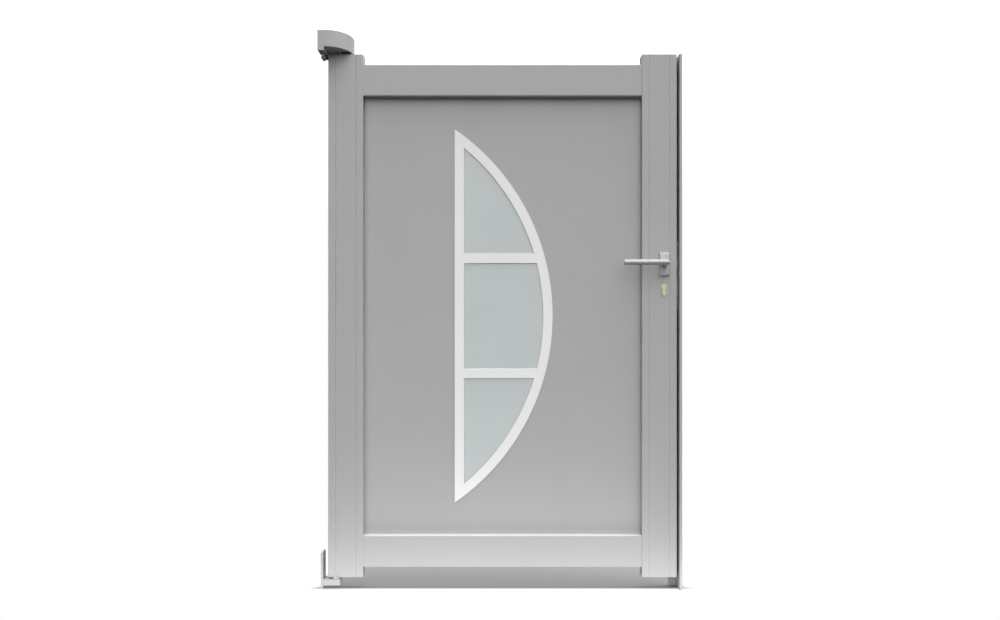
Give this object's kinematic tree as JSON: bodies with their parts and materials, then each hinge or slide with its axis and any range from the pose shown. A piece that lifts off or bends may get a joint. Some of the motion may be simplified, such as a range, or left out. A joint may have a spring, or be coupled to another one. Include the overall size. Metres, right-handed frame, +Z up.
{
  "type": "aluminium garden gate",
  "caption": "Single-leaf garden gate for a wall opening: hollow stiles and rails, smooth panel with a half-moon glazed window, pivot hinges, lever handle and full-height strike.",
  "frame": {"origin": "middle of the wall face of the lower hinge bracket's plate, on the plane of the hinge axis, 55 mm above the ground", "axes": "+X across the opening from the hinge wall to the strike, +Y from the side towards which the leaf opens to the back, +Z up"},
  "size_m": [1, 0.182, 1.535],
  "materials": {
    "grey_coat": "neutral light grey satin powder coat on aluminium",
    "light_coat": "off-white satin powder coat on aluminium",
    "frosted_glass": "acid-frosted laminated glass, pale blue-green grey",
    "bracket_steel": "zinc-plated steel",
    "bracket_coat": "light grey satin powder coat on steel",
    "cover_plastic": "light grey fine-grained moulded plastic",
    "handle_metal": "satin anodised aluminium",
    "brass": "pale nickel-brass, brushed",
    "rubber": "black seal rubber",
    "nylon": "black bearing nylon"
  },
  "bodies": {
    "wall_fittings": {"lower_bracket": "bracket_coat", "lower_pivot_pin": "bracket_steel", "upper_bracket": "bracket_steel", "upper_pivot_pin": "bracket_steel", "hinge_cover": "cover_plastic", "strike_channel": "grey_coat", "strike_stop": "grey_coat", "strike_end_caps": "grey_coat", "strike_seal": "rubber", "strike_keep": "bracket_steel"},
    "leaf": {"hinge_stile": "grey_coat", "lock_stile": "grey_coat", "hinge_stile_top_cap": "grey_coat", "hinge_stile_bottom_cap": "grey_coat", "lock_stile_top_cap": "grey_coat", "lock_stile_bottom_cap": "grey_coat", "top_rail": "grey_coat", "bottom_rail": "grey_coat", "infill_panel": "grey_coat", "window_trim_front": "light_coat", "window_trim_back": "light_coat", "window_pane_upper": "frosted_glass", "window_pane_middle": "frosted_glass", "window_pane_lower": "frosted_glass", "lower_pivot_block": "grey_coat", "upper_pivot_block": "grey_coat", "lower_bush": "nylon", "upper_bush": "nylon", "lock_case": "bracket_steel", "lock_faceplate": "bracket_steel", "lock_cylinder": "brass", "rosette_front": "handle_metal", "rosette_back": "handle_metal"},
    "handle": {"lever_front": "handle_metal", "lever_back": "handle_metal", "spindle": "bracket_steel"}
  },
  "joints": [
    {"name": "leaf_swing", "type": "hinge", "parent": "wall_fittings", "child": "leaf", "pos_m": [0.0395, 0, 0], "axis": [0, 0, -1], "range_deg": [0, 90]},
    {"name": "handle_turn", "type": "hinge", "parent": "leaf", "child": "handle", "pos_m": [0.951, 0.009, 0.85], "axis": [0, -1, 0], "range_deg": [0, 40], "stiffness_Nm_per_rad": 1.2, "springref_deg": -34.38}
  ]
}
